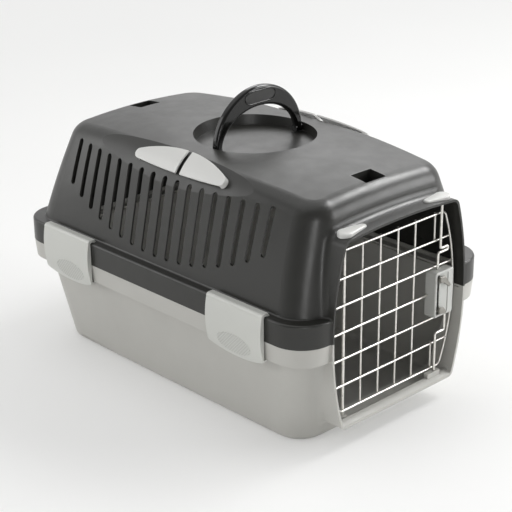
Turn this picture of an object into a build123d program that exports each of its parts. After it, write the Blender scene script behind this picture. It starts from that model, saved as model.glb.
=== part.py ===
from build123d import *
import os
from math import atan, cos, radians, sin, sqrt

# Small two-shell pet carrier with a wire squeeze-latch door, four side clips and a folding handle.
#
# Frame: +Z up, the door faces -Y, +X is the right side seen from the front of the door.
# The origin is the centre of the overall footprint, on the surface that the carrier stands on.
# All sizes are millimetres.

os.makedirs("parts", exist_ok=True)

# Overall driving sizes
overall_length = 483.0
rim_width = 300.0
roof_height = 283.5
parting_height = 129.0
wall = 2.5

# Where the front, the rear and the middle of the body lie along Y
tab_reach = 3.0
rim_set_back = 1.0
lip_y = -overall_length / 2 + tab_reach
rim_front_y = lip_y + rim_set_back
rim_rear_y = overall_length / 2
mid_y = (rim_front_y + rim_rear_y) / 2
rim_half_length = (rim_rear_y - rim_front_y) / 2
rim_half_width = rim_width / 2

# Rim: a dark skirt on the hood over a light skirt on the tub
rim_corner_radius = 38.0
hood_skirt_height = 27.0
tub_skirt_height = 21.0
tub_skirt_draft = 2.0
rim_edge_radius = 2.5
hood_foot_radius = 2.0
rim_top = parting_height + hood_skirt_height
ledge_side = 11.0
ledge_end = 12.0
locating_rib_height = 5.0
locating_rib_thickness = 1.6
locating_rib_gap = 0.4

# Tub, the lower shell
tub_foot_half_width = 118.0
tub_foot_half_length = 206.0
tub_corner_radius = 33.0
tub_floor = 4.0
tub_edge_radius = 8.0
tub_inner_edge_radius = 5.0
base_ring_width = 12.0
base_recess = 1.5

# Hood, the upper shell: walls lean inward and bow out towards the middle of each side
hood_lean_side = 0.215
hood_lean_front = 0.125
hood_lean_rear = 0.213
hood_corner_radius = 34.0
hood_bow_foot = 1.0
hood_bow_growth = 0.03
hood_bow_curve = 0.00105
hood_end_bow = 2.0
hood_loft_mid = 215.0
hood_loft_top = 300.0
roof_crown_y = 8.0
roof_radius_long = 1750.0
roof_radius_wide = 860.0
roof_edge_radius = 24.0
shoulder_set_out = 1.0
shoulder_start_z = 235.0
shoulder_radius = 67.0
shoulder_turn = 47.6

# Door frame, the snout that carries the door: its outline from the front
frame_half_width = 106.8
frame_widest_z = 127.0
frame_top_half_width = 89.0
frame_top_corner_z = 236.8
frame_top_z = 241.2
frame_bottom_half_width = 90.5
frame_bottom_z = 23.0
frame_top_radius = 11.0
frame_bottom_radius = 8.0
frame_depth = 62.0
frame_blend_radius = 10.0
sill_height = 4.5
sill_depth = 11.0

# Vent slots in each side of the hood
vent_count = 17
vent_pitch = 20.0
vent_centre_y = 4.5
vent_width = 7.5
vent_top_z = 254.0
vent_top_rise = 5.0
vent_bottom_mid_z = 164.5
vent_bottom_end_z = 207.0

# Door of welded wire
wire_radius = 1.15
door_frame_wire_radius = 1.25
hinge_rod_radius = 1.75
bolt_radius = 1.5
weld_sink = 0.12
door_wire_set_back = 12.6
door_top_z = 221.3
door_bottom_z = 36.8
door_row_count = 7
door_half_width_top = 82.0
door_half_width_mid = 100.3
door_half_width_bottom = 81.5
door_corner_radius = 8.0
hinge_x = -74.3
upright_first_x = -47.4
upright_pitch = 27.8
upright_count = 4
short_upright_x = 68.4

# Hinge rod sockets and bolt keeper
running_clearance = 0.05
hinge_boss_radius = 4.6
hinge_boss_height = 5.0
rod_end_gap = 0.4
keeper_left_x = 54.5
keeper_right_x = 75.5
keeper_depth = 5.8
keeper_set_back = 5.2
keeper_gap = 0.6

# Squeeze latch: housing, back plate, two sprung bolts and their thumb tabs
latch_left_x = 57.0
latch_right_x = 87.5
latch_bottom_z = 104.0
latch_top_z = 157.5
latch_set_back = 1.0
latch_front_wall = 2.0
latch_side_wall = 1.6
latch_end_wall = 2.0
latch_back_thickness = 1.6
latch_edge_radius = 1.5
latch_corner = 2.5
latch_recess_left_x = 59.6
latch_recess_right_x = 78.5
latch_recess_margin = 3.0
latch_recess_depth = 0.8
bolt_set_back = 8.6
upper_bolt_x = 71.8
upper_entry_x = 68.4
lower_bolt_x = 68.4
lower_entry_x = 83.6
upper_loop_z = 177.0
upper_loop_rise = 4.6
lower_loop_z = 80.5
loop_end_x = 84.6
bolt_bend_radius = 2.2
bolt_throw = 3.2
bolt_mouth_gap = 0.5
bolt_clearance = 0.35
slider_height = 5.0
slider_gap = 0.4
slider_end_gap = 0.8
upper_slider_right_x = 79.5
lower_slider_right_x = 85.5
tab_stem_left_x = 61.2
tab_stem_width = 3.0
tab_stem_height = 3.2
tab_slot_gap = 0.4
tab_thickness = 2.4
tab_edge = 0.7
spring_x = 75.0
spring_set_back = 7.2
spring_radius = 3.0
spring_wire_radius = 0.45
spring_turns = 9

# Caps over the ends of the rods
cap_wide_radius = 8.6
cap_narrow_radius = 4.2
cap_wide_x = 76.5
cap_length = 25.5
cap_set_back = 12.4
cap_top_z = 242.2
cap_edge_radius = 1.8
cap_skin = 2.0

# Clips on the rim
clip_width = 84.0
clip_set_in = 96.5
clip_wall = 3.0
clip_fit = 0.35
clip_bulge = 2.4
clip_head_height = 3.3
clip_bead_radius = 2.0
clip_bead_gap = 0.3
clip_bead_wall = 2.5
clip_bead_inset = 5.8
clip_hook_reach = 3.9
clip_hook_gap = 0.8
clip_tail_side_drop = 3.0
clip_tail_mid_drop = 11.5
clip_tail_curl = 2.5
clip_tail_thickness = 2.4
clip_corner_radius = 4.0

# Carrying handle and its dish
dish_radius = 70.5
dish_draft = 2.3
dish_floor_z = 270.0
dish_y = -16.0
handle_y = -20.5
handle_half_width = 67.0
handle_height = 63.0
handle_inner_half_width = 57.5
handle_inner_height = 39.5
handle_thickness = 9.0
handle_round = 3.2
handle_floor_gap = 0.6
handle_pin_radius = 2.2
handle_pin_length = 6.0
handle_pin_end_gap = 0.4
handle_boss_radius = 5.2
handle_boss_length = 9.0
inlay_length = 46.0
inlay_height = 14.0
inlay_depth = 0.9
inlay_rise = 51.2

# Strap anchors sunk in the roof
anchor_width = 34.0
anchor_length = 25.0
anchor_wall = 1.6
anchor_front_set_in = 51.5
anchor_front_bottom_z = 251.5
anchor_front_bar_z = 263.0
anchor_rear_set_in = 63.5
anchor_rear_bottom_z = 258.0
anchor_rear_bar_z = 269.5
anchor_bar_radius = 1.8
anchor_corner = 2.0

# Belt guides on the shoulders
guide_length = 175.0
guide_split = 7.0
guide_split_y = -16.0
guide_centre_y = -13.5
guide_tilt = 46.0
guide_reach = 29.0
guide_sag = 4.0
guide_clear = 4.3
guide_wall = 2.0
guide_root = 20.0
guide_tip_radius = 6.0
guide_edge_radius = 0.7

# Places that follow from the sizes above
foot_half_width = rim_half_width - ledge_side
foot_half_length = rim_half_length - ledge_end
shoulder_start_x = foot_half_width - hood_lean_side * (shoulder_start_z - rim_top) + shoulder_set_out
frame_back_y = lip_y + frame_depth
doorway_floor_z = frame_bottom_z + wall
door_y = lip_y + door_wire_set_back
upright_y = door_y + 2 * wire_radius - weld_sink
hinge_y = door_y + wire_radius + hinge_rod_radius - weld_sink
row_pitch = (door_top_z - door_bottom_z) / (door_row_count - 1)
bolt_y = lip_y + bolt_set_back
tab_front_y = -overall_length / 2
latch_front_y = lip_y + latch_set_back
latch_back_y = door_y + wire_radius + running_clearance
latch_inner_low_z = latch_bottom_z + latch_end_wall
latch_inner_high_z = latch_top_z - latch_end_wall
upper_slider_z = latch_inner_high_z - slider_end_gap - bolt_throw - slider_height / 2
lower_slider_z = latch_inner_low_z + slider_end_gap + bolt_throw + slider_height / 2
keeper_top_z = door_bottom_z - door_frame_wire_radius - keeper_gap
cap_y = lip_y + cap_set_back
spring_y = lip_y + spring_set_back
clip_bead_x = rim_half_width - clip_bead_inset
clip_front_y = rim_front_y + clip_set_in
clip_rear_y = rim_rear_y - clip_set_in
anchor_front_y = lip_y + anchor_front_set_in
anchor_rear_y = rim_rear_y - anchor_rear_set_in
handle_z = dish_floor_z + handle_thickness / 2 + handle_floor_gap


def export(part, name):
    """Write one finished piece to its own STEP file."""
    part.label = name
    export_step(part, f"parts/{name}.step")
    print(f"{name}: {len(part.solids())} solids, {part.volume / 1000:.1f} cm3")


def bowed_outline(height, half_width, half_length, side_bow, end_bow, corner, centre_y=mid_y):
    """A rounded rectangle at one height, with its four sides bowed outward by arcs."""
    corner_x = half_width - side_bow
    corner_y = half_length - end_bow
    corners = [
        (corner_x, centre_y - corner_y),
        (corner_x, centre_y + corner_y),
        (-corner_x, centre_y + corner_y),
        (-corner_x, centre_y - corner_y),
    ]
    middles = [
        (half_width, centre_y),
        (0, centre_y + half_length),
        (-half_width, centre_y),
        (0, centre_y - half_length),
    ]
    with BuildSketch(Plane.XY.offset(height)) as outline:
        with BuildLine():
            for index in range(4):
                ThreePointArc(corners[index], middles[index], corners[(index + 1) % 4])
        make_face()
        fillet(outline.vertices(), corner)
    return outline.sketch


def hood_section(height, inset):
    """The hood's outline at one height, drawn in by the inset."""
    rise = height - rim_top
    return bowed_outline(
        height,
        foot_half_width - hood_lean_side * rise - inset,
        foot_half_length - (hood_lean_rear + hood_lean_front) / 2 * rise - inset,
        hood_bow_foot + hood_bow_growth * rise + hood_bow_curve * rise * rise,
        hood_end_bow,
        hood_corner_radius - inset,
        mid_y - (hood_lean_rear - hood_lean_front) / 2 * rise,
    )


def tub_section(height, inset):
    """The tub's outline at one height, drawn in by the inset."""
    share = height / parting_height
    return bowed_outline(
        height,
        tub_foot_half_width + (foot_half_width - tub_foot_half_width) * share - inset,
        tub_foot_half_length + (foot_half_length - tub_foot_half_length) * share - inset,
        hood_bow_foot,
        hood_end_bow,
        tub_corner_radius - inset,
    )


def rim_outline(height, inset):
    """The rim's outline at one height."""
    return bowed_outline(
        height,
        rim_half_width - inset,
        rim_half_length - inset,
        hood_bow_foot / 2,
        hood_end_bow,
        rim_corner_radius - inset,
    )


def roof_region(inset):
    """Everything under the doubly curved roof."""
    half = rim_half_width + 20
    low = rim_top - 60
    reach = rim_half_length + 60
    sections = []
    for step in (-1, 0, 1):
        apex = roof_height - inset - (step * reach) ** 2 / (2 * roof_radius_long)
        edge = apex - half * half / (2 * roof_radius_wide)
        with BuildSketch(Plane.XZ.offset(-(roof_crown_y + step * reach))) as section:
            with BuildLine():
                ThreePointArc((-half, edge), (0, apex), (half, edge))
                Polyline((half, edge), (half, low), (-half, low), (-half, edge))
            make_face()
        sections.append(section.sketch)
    with BuildPart() as region:
        loft(sections)
    return region.part


def shoulder_points(inset):
    """The shoulder's arc in the XZ plane: start, middle and end."""
    radius = shoulder_radius - inset
    start_angle = atan(hood_lean_side)
    centre_x = shoulder_start_x - shoulder_radius * cos(start_angle)
    centre_z = shoulder_start_z - shoulder_radius * sin(start_angle)
    points = []
    for share in (0, 0.5, 1):
        angle = start_angle + radians(shoulder_turn) * share
        points.append((centre_x + radius * cos(angle), centre_z + radius * sin(angle)))
    return points


def shoulder_region(inset):
    """Everything between the two shoulders."""
    start, middle, end = shoulder_points(inset)
    end_angle = atan(hood_lean_side) + radians(shoulder_turn)
    reach = 80
    high = (end[0] - sin(end_angle) * reach, end[1] + cos(end_angle) * reach)
    low_z = rim_top - 60
    low = (start[0] + hood_lean_side * (start[1] - low_z), low_z)
    with BuildPart() as region:
        with BuildSketch(Plane.XZ.offset(overall_length)):
            with BuildLine():
                for side in (1, -1):
                    Line((side * low[0], low[1]), (side * start[0], start[1]))
                    ThreePointArc(
                        (side * start[0], start[1]),
                        (side * middle[0], middle[1]),
                        (side * end[0], end[1]),
                    )
                    Line((side * end[0], end[1]), (side * high[0], high[1]))
                Line(high, (-high[0], high[1]))
                Line(low, (-low[0], low[1]))
            make_face()
        extrude(amount=-2 * overall_length)
    return region.part


def hood_form(inset, bottom):
    """The hood as a solid block, drawn in by the inset."""
    with BuildPart() as form:
        loft([hood_section(z, inset) for z in (bottom, hood_loft_mid, hood_loft_top)])
        add(roof_region(inset), mode=Mode.INTERSECT)
        roof = form.faces().sort_by(Axis.Z)[-1]
        fillet(roof.edges(), roof_edge_radius - inset)
        add(shoulder_region(inset), mode=Mode.INTERSECT)
    return form.part


def tub_form(inset, bottom, edge_radius):
    """The tub as a solid block from the given height up to the parting line."""
    with BuildPart() as form:
        loft([tub_section(bottom, inset), tub_section(parting_height, inset)], ruled=True)
        base = form.faces().sort_by(Axis.Z)[0]
        fillet(base.edges(), edge_radius)
    return form.part


def frame_outline(front_y, inset):
    """The door frame's outline in a plane that faces the front."""
    side_high = (frame_top_half_width - inset, frame_top_corner_z - inset)
    side_mid = (frame_half_width - inset, frame_widest_z)
    side_low = (frame_bottom_half_width - inset, frame_bottom_z + inset)
    with BuildSketch(Plane.XZ.offset(-front_y)) as outline:
        with BuildLine():
            for side in (1, -1):
                ThreePointArc(
                    (side * side_low[0], side_low[1]),
                    (side * side_mid[0], side_mid[1]),
                    (side * side_high[0], side_high[1]),
                )
            ThreePointArc(side_high, (0, frame_top_z - inset), (-side_high[0], side_high[1]))
            Line(side_low, (-side_low[0], side_low[1]))
        make_face()
        top_corners = outline.vertices().group_by(Axis.Y)[-1]
        fillet(top_corners, frame_top_radius - inset)
        bottom_corners = outline.vertices().group_by(Axis.Y)[0]
        fillet(bottom_corners, frame_bottom_radius - inset)
    return outline.sketch


def frame_block(front_y, back_y, inset, low, high):
    """The door frame's outline as a block between two planes and two heights."""
    middle = (low + high) / 2
    with BuildPart() as block:
        extrude(frame_outline(front_y, inset), amount=-(back_y - front_y))
        with Locations((0, (front_y + back_y) / 2, middle)):
            Box(rim_width, 3 * frame_depth, high - low, mode=Mode.INTERSECT)
    return block.part


def wire(points, radius, bend):
    """A round wire along straight runs joined by tangent bends."""
    with BuildPart() as rod:
        with BuildLine() as route:
            if len(points) == 2:
                Line(*points)
            else:
                FilletPolyline(*points, radius=bend)
        start_plane = Plane(origin=route.line @ 0, z_dir=route.line % 0)
        with BuildSketch(start_plane):
            Circle(radius)
        sweep(path=route.line)
    return rod.part


def circle_through(first, second, third):
    """Centre and radius of the circle through three points."""
    ax, ay = first
    bx, by = second
    cx, cy = third
    double_area = 2 * (ax * (by - cy) + bx * (cy - ay) + cx * (ay - by))
    a_square = ax * ax + ay * ay
    b_square = bx * bx + by * by
    c_square = cx * cx + cy * cy
    centre_x = (a_square * (by - cy) + b_square * (cy - ay) + c_square * (ay - by)) / double_area
    centre_y = (a_square * (cx - bx) + b_square * (ax - cx) + c_square * (bx - ax)) / double_area
    return centre_x, centre_y, sqrt((ax - centre_x) ** 2 + (ay - centre_y) ** 2)


def frame_top_at(x):
    """Height of the door frame's outer top surface at one distance from the middle."""
    corner = (frame_top_half_width, frame_top_corner_z)
    mirrored = (-frame_top_half_width, frame_top_corner_z)
    _, centre_z, radius = circle_through(corner, (0, frame_top_z), mirrored)
    return centre_z + sqrt(radius * radius - x * x)


def door_side_at(height):
    """Distance from the middle to the door's side wire at one height."""
    high = (door_half_width_top, door_top_z)
    middle = (door_half_width_mid, frame_widest_z)
    low = (door_half_width_bottom, door_bottom_z)
    centre_x, centre_z, radius = circle_through(high, middle, low)
    return centre_x + sqrt(radius * radius - (height - centre_z) ** 2)


def bar(start, direction, radius, length):
    """A round bar from a point along a direction."""
    with BuildPart() as rod:
        with BuildSketch(Plane(origin=start, z_dir=direction)):
            Circle(radius)
        extrude(amount=length)
    return rod.part


# Bottom shell: the tub with its skirt, the lower half of the door frame, sill and keeper
tub_outer = tub_form(0, 0, tub_edge_radius)
tub_inner = tub_form(wall, tub_floor, tub_inner_edge_radius)
lower_frame = frame_block(lip_y, frame_back_y, 0, 0, parting_height)
lower_doorway = frame_block(lip_y - 1, frame_back_y + 1, wall, 0, parting_height + 20)
skirt_bottom = parting_height - tub_skirt_height

with BuildPart() as tub_and_frame:
    add(tub_outer)
    add(lower_frame)
    tub_joint = tub_and_frame.edges(Select.NEW)
    fillet(tub_joint.filter_by_position(Axis.Y, rim_front_y, frame_back_y), frame_blend_radius)

with BuildPart() as bottom_shell:
    add(tub_and_frame.part)
    loft(
        [
            rim_outline(skirt_bottom, tub_skirt_draft),
            rim_outline(parting_height, 0),
        ],
        ruled=True,
    )
    # The gap between skirt and tub, open underneath
    skirt_void = loft(
        [
            rim_outline(skirt_bottom - 1, tub_skirt_draft + wall),
            rim_outline(parting_height - wall, wall),
        ],
        ruled=True,
        mode=Mode.PRIVATE,
    )
    add(skirt_void - tub_and_frame.part, mode=Mode.SUBTRACT)
    add(tub_inner, mode=Mode.SUBTRACT)
    # Rib that locates the hood's skirt from inside
    rib_inset = wall + locating_rib_gap
    extrude(rim_outline(parting_height - wall, rib_inset), amount=wall + locating_rib_height)
    rib_void = extrude(
        rim_outline(parting_height - wall - 1, rib_inset + locating_rib_thickness),
        amount=wall + locating_rib_height + 2,
        mode=Mode.PRIVATE,
    )
    flange_under = extrude(
        rim_outline(parting_height - wall, wall),
        amount=wall,
        mode=Mode.PRIVATE,
    )
    tub_column = extrude(
        tub_section(parting_height, wall),
        amount=3 * locating_rib_height,
        both=True,
        mode=Mode.PRIVATE,
    )
    add(rib_void - (flange_under - tub_column), mode=Mode.SUBTRACT)
    frame_clear = frame_block(
        lip_y - 1,
        frame_back_y,
        -locating_rib_gap,
        parting_height,
        parting_height + 2 * locating_rib_height,
    )
    add(frame_clear, mode=Mode.SUBTRACT)
    add(lower_doorway, mode=Mode.SUBTRACT)
    # Sill across the doorway
    with BuildSketch(Plane.YZ.offset(-rim_half_width)):
        with BuildLine():
            sill_crest = doorway_floor_z + sill_height
            sill_rear_y = lip_y + sill_depth
            ThreePointArc(
                (lip_y, doorway_floor_z + 0.8),
                (lip_y + sill_depth * 0.4, doorway_floor_z + sill_height * 0.75),
                (sill_rear_y - 2, sill_crest),
            )
            Line((sill_rear_y - 2, sill_crest), (sill_rear_y, sill_crest - 1))
            Line((sill_rear_y, sill_crest - 1), (sill_rear_y, doorway_floor_z - wall / 2))
            Line((sill_rear_y, doorway_floor_z - wall / 2), (lip_y, doorway_floor_z - wall / 2))
            Line((lip_y, doorway_floor_z - wall / 2), (lip_y, doorway_floor_z + 0.8))
        make_face()
    sill_bar = extrude(amount=2 * rim_half_width, mode=Mode.PRIVATE)
    add(sill_bar & lower_frame)
    # Socket for the foot of the hinge rod
    boss_top = doorway_floor_z + hinge_boss_height
    with BuildSketch(Plane.XY.offset(frame_bottom_z)):
        with Locations((hinge_x, hinge_y)):
            Circle(hinge_boss_radius)
    extrude(amount=boss_top - frame_bottom_z)
    with BuildSketch(Plane.XY.offset(boss_top)):
        with Locations((hinge_x, hinge_y)):
            Circle(hinge_rod_radius + running_clearance)
    extrude(amount=-hinge_boss_height, mode=Mode.SUBTRACT)
    # Keeper for the lower bolt
    keeper_y = lip_y + keeper_set_back + keeper_depth / 2
    with BuildSketch(Plane.XY.offset(frame_bottom_z + wall / 2)):
        with Locations(((keeper_left_x + keeper_right_x) / 2, keeper_y)):
            RectangleRounded(keeper_right_x - keeper_left_x, keeper_depth, 1.0)
    extrude(amount=keeper_top_z - frame_bottom_z - wall / 2)
    with BuildSketch(Plane.XY.offset(keeper_top_z)):
        with Locations((lower_bolt_x, bolt_y)):
            Circle(bolt_radius + bolt_clearance)
    extrude(amount=-(bolt_throw + rod_end_gap), mode=Mode.SUBTRACT)
    # Shallow recess that leaves a standing ring under the floor
    extrude(tub_section(0, base_ring_width), amount=base_recess, mode=Mode.SUBTRACT)
export(bottom_shell.part, "bottom_shell")

# Top shell: the hood with its skirt, the upper half of the door frame, dish and vents
hood_outer = hood_form(0, parting_height)
hood_inner = hood_form(wall, parting_height - 1)
upper_frame = frame_block(lip_y, frame_back_y, 0, parting_height, roof_height)
upper_doorway = frame_block(lip_y - 1, frame_back_y + 1, wall, parting_height - 1, roof_height)
frame_top_inner = frame_top_at(abs(hinge_x)) - wall
dish_block = bar(
    (0, dish_y, dish_floor_z - wall),
    (0, 0, 1),
    dish_radius + wall,
    roof_height - dish_floor_z + 2 * wall,
)
boss_reach = handle_half_width + handle_boss_length
boss_bar = bar((-boss_reach, handle_y, handle_z), (1, 0, 0), handle_boss_radius, 2 * boss_reach)
bead_seats = []
for side in (-1, 1):
    for clip_y in (clip_front_y, clip_rear_y):
        seat_y = clip_y - clip_width / 2 - clip_bead_wall
        seat = bar(
            (side * clip_bead_x, seat_y, rim_top),
            (0, 1, 0),
            clip_bead_radius + clip_bead_gap + clip_bead_wall,
            clip_width + 2 * clip_bead_wall,
        )
        seat_depth = clip_bead_radius + clip_bead_gap + clip_bead_wall
        below_rim = Pos(0, 0, rim_top - wall / 2 - seat_depth / 2)
        bead_seats.append(seat & below_rim * Box(2 * rim_width, 2 * overall_length, seat_depth))

with BuildPart() as hood_and_frame:
    add(hood_outer)
    add(upper_frame)
    hood_joint = hood_and_frame.edges(Select.NEW)
    fillet(hood_joint.filter_by_position(Axis.Y, rim_front_y, frame_back_y), frame_blend_radius)

with BuildPart() as top_shell:
    extrude(rim_outline(parting_height, 0), amount=hood_skirt_height)
    rim_face = top_shell.faces().sort_by(Axis.Z)[-1]
    fillet(rim_face.edges(), rim_edge_radius)
    add(hood_and_frame.part)
    foot_edges = top_shell.edges(Select.NEW).filter_by_position(Axis.Z, rim_top, rim_top)
    fillet(foot_edges, hood_foot_radius)
    skirt_room = extrude(
        rim_outline(parting_height - 1, wall),
        amount=hood_skirt_height - wall + 1,
        mode=Mode.PRIVATE,
    )
    add(skirt_room - upper_frame, mode=Mode.SUBTRACT)
    add(hood_inner, mode=Mode.SUBTRACT)
    add(upper_doorway, mode=Mode.SUBTRACT)
    # Vent slots through both sides
    with BuildSketch(Plane.YZ):
        half_run = vent_pitch * (vent_count - 1) / 2
        bow_rise = vent_bottom_end_z - vent_bottom_mid_z
        bow_radius = (half_run * half_run + bow_rise * bow_rise) / (2 * bow_rise)
        for index in range(vent_count):
            along = index * vent_pitch - half_run
            high = vent_top_z + vent_top_rise * (along / half_run) ** 2
            low = vent_bottom_mid_z + bow_radius - sqrt(bow_radius**2 - along**2)
            with Locations((vent_centre_y + along, (high + low) / 2)):
                SlotOverall(high - low, vent_width, rotation=90)
    extrude(amount=rim_half_width, both=True, mode=Mode.SUBTRACT)
    # Dish for the handle, with a boss behind each pivot
    add((dish_block + boss_bar) & hood_outer)
    dish_depth = roof_height - dish_floor_z
    with BuildSketch(Plane.XY.offset(dish_floor_z)):
        with Locations((0, dish_y)):
            Circle(dish_radius - dish_draft)
    with BuildSketch(Plane.XY.offset(dish_floor_z + 2 * dish_depth)):
        with Locations((0, dish_y)):
            Circle(dish_radius + dish_draft)
    loft(mode=Mode.SUBTRACT)
    pin_reach = handle_half_width + handle_pin_length + handle_pin_end_gap
    with BuildSketch(Plane.YZ):
        with Locations((handle_y, handle_z)):
            Circle(handle_pin_radius + running_clearance)
    extrude(amount=pin_reach, both=True, mode=Mode.SUBTRACT)
    # Wells for the strap anchors
    for anchor_y in (anchor_front_y, anchor_rear_y):
        with BuildSketch(Plane.XY.offset(roof_height)):
            with Locations((0, anchor_y)):
                RectangleRounded(anchor_width, anchor_length, anchor_corner)
        extrude(amount=-(roof_height - anchor_front_bottom_z), mode=Mode.SUBTRACT)
    # Seat ribs and grooves for the clips' hinge beads
    for seat in bead_seats:
        add(seat)
    for clip_y in (clip_front_y, clip_rear_y):
        groove_y = clip_y - clip_width / 2 - clip_bead_gap
        with BuildSketch(Plane.XZ.offset(-groove_y)):
            with Locations((-clip_bead_x, rim_top), (clip_bead_x, rim_top)):
                Circle(clip_bead_radius + clip_bead_gap)
        extrude(amount=-(clip_width + 2 * clip_bead_gap), mode=Mode.SUBTRACT)
    # Holes in the top of the door frame for the hinge rod and the upper bolt
    with BuildSketch(Plane.XY.offset(frame_top_z)):
        with Locations((hinge_x, hinge_y)):
            Circle(hinge_rod_radius + running_clearance)
        with Locations((upper_bolt_x, bolt_y)):
            Circle(bolt_radius + bolt_clearance)
    extrude(amount=-(frame_top_z - frame_top_inner + wall), mode=Mode.SUBTRACT)
export(top_shell.part, "top_shell")

# Belt guides: two arched fingers on each shoulder, open to each other in the middle
shoulder_start, _, _ = shoulder_points(0)
wall_angle = atan(hood_lean_side)
arc_x = shoulder_start[0] - shoulder_radius * cos(wall_angle)
arc_z = shoulder_start[1] - shoulder_radius * sin(wall_angle)
guide_angle = radians(guide_tilt)
guide_outer = shoulder_radius + guide_clear + guide_wall
guide_free = guide_length / 2 - guide_root

for side, side_name in ((-1, "left"), (1, "right")):
    guide_normal = (side * cos(guide_angle), 0, sin(guide_angle))
    guide_origin = (
        side * (arc_x + guide_outer * cos(guide_angle)),
        guide_centre_y,
        arc_z + guide_outer * sin(guide_angle),
    )
    guide_plane = Plane(origin=guide_origin, x_dir=(0, side, 0), z_dir=guide_normal)
    for end, end_name in ((-1, "front"), (1, "rear")):
        with BuildPart() as belt_guide:
            # Leaf-shaped outline, looking straight at the shoulder
            with BuildSketch(guide_plane) as leaf:
                with BuildLine():
                    tip = guide_length / 2
                    low = -guide_reach / 2
                    ThreePointArc((-tip, low + guide_sag), (0, low), (tip, low + guide_sag))
                    ThreePointArc(
                        (tip, low + guide_sag),
                        (0, guide_reach / 2),
                        (-tip, low + guide_sag),
                    )
                make_face()
                fillet(leaf.vertices(), guide_tip_radius)
            extrude(amount=2 * guide_clear + guide_wall, both=True)
            # Arched skin over the shoulder
            with BuildSketch(Plane.XZ.offset(guide_length)):
                with Locations((side * arc_x, arc_z)):
                    Circle(guide_outer)
            extrude(amount=-2 * guide_length, mode=Mode.INTERSECT)
            rim_edges = belt_guide.faces().sort_by(Axis(guide_origin, guide_normal))[-1].edges()
            fillet(rim_edges, guide_edge_radius)
            with BuildSketch(Plane.XZ.offset(-(guide_centre_y - guide_free))):
                with Locations((side * arc_x, arc_z)):
                    Circle(shoulder_radius + guide_clear)
            extrude(amount=-2 * guide_free, mode=Mode.SUBTRACT)
            add(hood_outer, mode=Mode.SUBTRACT)
            split_face = guide_split_y + end * guide_split / 2
            with Locations((0, split_face - end * guide_length, roof_height)):
                Box(2 * rim_width, 2 * guide_length, rim_width, mode=Mode.SUBTRACT)
        export(belt_guide.part, f"belt_guide_{end_name}_{side_name}")

# Strap anchors: cups sunk in the roof with a bar across
for anchor_y, bottom_z, bar_z, name in (
    (anchor_front_y, anchor_front_bottom_z, anchor_front_bar_z, "front"),
    (anchor_rear_y, anchor_rear_bottom_z, anchor_rear_bar_z, "rear"),
):
    with BuildPart() as strap_anchor:
        with BuildSketch(Plane.XY.offset(bottom_z)):
            with Locations((0, anchor_y)):
                RectangleRounded(anchor_width, anchor_length, anchor_corner)
        extrude(amount=roof_height - bottom_z)
        add(hood_outer, mode=Mode.INTERSECT)
        with BuildSketch(Plane.XY.offset(bottom_z + anchor_wall)):
            with Locations((0, anchor_y)):
                RectangleRounded(
                    anchor_width - 2 * anchor_wall,
                    anchor_length - 2 * anchor_wall,
                    anchor_corner - anchor_wall / 2,
                )
        extrude(amount=roof_height - bottom_z, mode=Mode.SUBTRACT)
        with BuildSketch(Plane.YZ.offset(-(anchor_width - anchor_wall) / 2)):
            with Locations((anchor_y, bar_z)):
                Circle(anchor_bar_radius)
        extrude(amount=anchor_width - anchor_wall)
    export(strap_anchor.part, f"strap_anchor_{name}")

# Teardrop caps over the upper ends of the hinge rod and the bolt
for side, side_name in ((-1, "left"), (1, "right")):
    with BuildPart() as pin_cap:
        with BuildSketch(Plane.XY.offset(frame_top_corner_z - 2 * wall)):
            with Locations((side * cap_wide_x, cap_y)):
                Circle(cap_wide_radius)
            with Locations((side * (cap_wide_x - cap_length), cap_y)):
                Circle(cap_narrow_radius)
            make_hull()
        extrude(amount=cap_top_z - frame_top_corner_z + 2 * wall)
        cap_face = pin_cap.faces().sort_by(Axis.Z)[-1]
        fillet(cap_face.edges(), cap_edge_radius)
        add(hood_and_frame.part, mode=Mode.SUBTRACT)
        rod_place = (hinge_x, hinge_y) if side < 0 else (upper_bolt_x, bolt_y)
        rod_room = hinge_rod_radius + running_clearance if side < 0 else bolt_radius + bolt_clearance
        with BuildSketch(Plane.XY.offset(cap_top_z - cap_skin)):
            with Locations(rod_place):
                Circle(rod_room)
        extrude(amount=-(cap_top_z - frame_top_corner_z + wall), mode=Mode.SUBTRACT)
    export(pin_cap.part, f"pin_cap_{side_name}")

# Clips: each hinges on a bead in the hood's rim and hooks under the tub's skirt
clip_inner_x = rim_half_width + clip_fit
clip_outer_x = clip_inner_x + clip_wall
clip_hook_z = skirt_bottom - clip_hook_gap
clip_tail_z = skirt_bottom - clip_tail_mid_drop
clip_head_z = rim_top + clip_head_height
clip_seat_z = rim_top + clip_bead_gap + 0.1

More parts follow.
